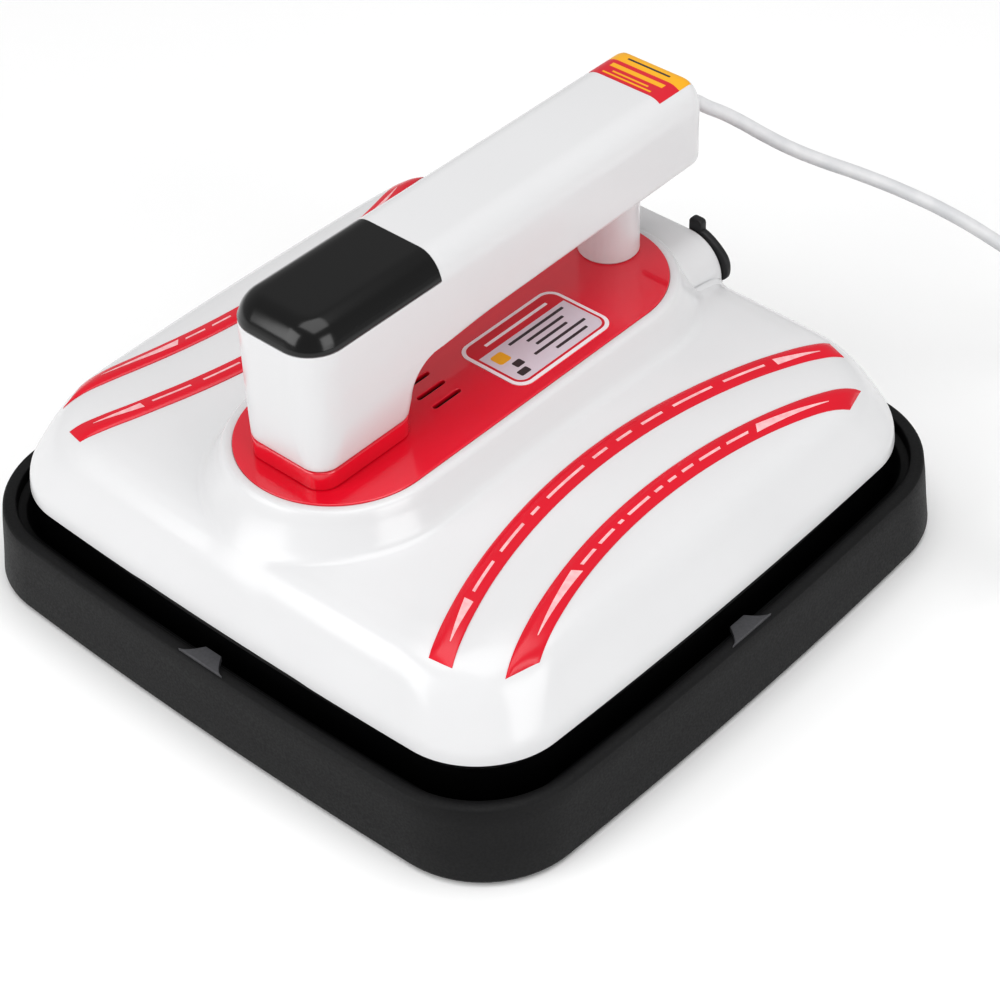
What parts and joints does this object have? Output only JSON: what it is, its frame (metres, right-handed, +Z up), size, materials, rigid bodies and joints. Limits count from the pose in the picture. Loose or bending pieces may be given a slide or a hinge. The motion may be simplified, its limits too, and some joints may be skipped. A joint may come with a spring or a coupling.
{
  "type": "heat press",
  "caption": "Hand-held flat heat press with a domed white cover, red inlays and a bridge handle, standing in its square black resting tray.",
  "frame": {"origin": "middle of the underside of the tray's feet, on the bench", "axes": "+Z up, -Y towards the display end of the handle, +Y towards the cord end, +X to the right seen from the display end"},
  "size_m": [0.3793, 0.4309, 0.1586],
  "materials": {
    "tray_plastic": "moulded matt black nylon",
    "tab_plastic": "moulded nylon",
    "silicone_pad": "silicone sheet",
    "foot_rubber": "rubber",
    "cast_aluminium": "cast, non-stick face",
    "element_steel": "steel sheath, heat tinted",
    "glass_fibre": "needled glass fibre",
    "shield_steel": "aluminised steel sheet",
    "zinc_steel": "zinc plated",
    "phenolic": "phenolic moulding",
    "probe_glass": "glass sleeved probe",
    "black_gloss": "gloss black moulding",
    "white_gloss": "gloss white ABS",
    "red_gloss": "gloss red inlay",
    "red_panel": "gloss red acrylic",
    "label_film": "printed film",
    "black_rubber": "moulded rubber",
    "block_plastic": "nylon terminal block",
    "circuit_board": "FR4 laminate",
    "relay_blue": "relay case",
    "fuse_glass": "glass fuse",
    "spring_brass": "plated spring",
    "ribbon_grey": "ribbon cable",
    "caution_film": "printed film",
    "switch_black": "switch body",
    "rocker_red": "rocker cap",
    "cord_pvc": "PVC cord sheath",
    "plug_pvc": "moulded PVC",
    "pin_metal": "nickel plated brass"
  },
  "bodies": {
    "tray": {"base_tray": "tray_plastic", "locating_tabs": "tab_plastic", "tray_heat_pad": "silicone_pad", "tray_feet": "foot_rubber"},
    "press": {"heating_plate": "cast_aluminium", "heating_element_outer": "element_steel", "heating_element_inner": "element_steel", "insulation_blanket": "glass_fibre", "heat_shield": "shield_steel", "plate_standoffs": "zinc_steel", "plate_screws": "zinc_steel", "thermal_cutout": "phenolic", "temperature_probe": "probe_glass", "lower_housing": "black_gloss", "shield_screws": "zinc_steel", "top_cover": "white_gloss", "cover_screws": "zinc_steel", "stripe_right_inner": "red_gloss", "stripe_right_outer": "red_gloss", "stripe_left_inner": "red_gloss", "stripe_left_outer": "red_gloss", "boss_panel": "red_panel", "spec_label": "label_film", "rear_rest": "black_rubber", "terminal_block": "block_plastic", "power_board": "circuit_board", "power_relay": "relay_blue", "mains_fuse": "fuse_glass", "handle_shell": "white_gloss", "handle_underside": "white_gloss", "front_plinth": "red_panel", "rear_post": "white_gloss", "handle_bolts": "zinc_steel", "handle_nuts": "zinc_steel", "display_cover": "black_gloss", "display_board": "circuit_board", "display_module": "phenolic", "touch_springs": "spring_brass", "buzzer": "phenolic", "display_ribbon": "ribbon_grey", "caution_plate": "caution_film", "rocker_housing": "switch_black", "mains_lead": "cord_pvc", "cord_clamp": "phenolic", "strain_relief": "plug_pvc", "power_cord": "cord_pvc", "cord_coil": "cord_pvc", "coil_tie": "black_rubber", "cord_tail": "cord_pvc", "mains_plug": "plug_pvc", "plug_pins": "pin_metal"},
    "rocker": {"power_rocker": "rocker_red"}
  },
  "joints": [
    {"name": "press_lift", "type": "slide", "parent": "tray", "child": "press", "axis": [0, 0, 1], "range_m": [0, 0.15]},
    {"name": "power_rocker_tilt", "type": "hinge", "parent": "press", "child": "rocker", "pos_m": [0, 0.115, 0.1303], "axis": [-1, 0, 0], "range_deg": [0, 17]}
  ]
}
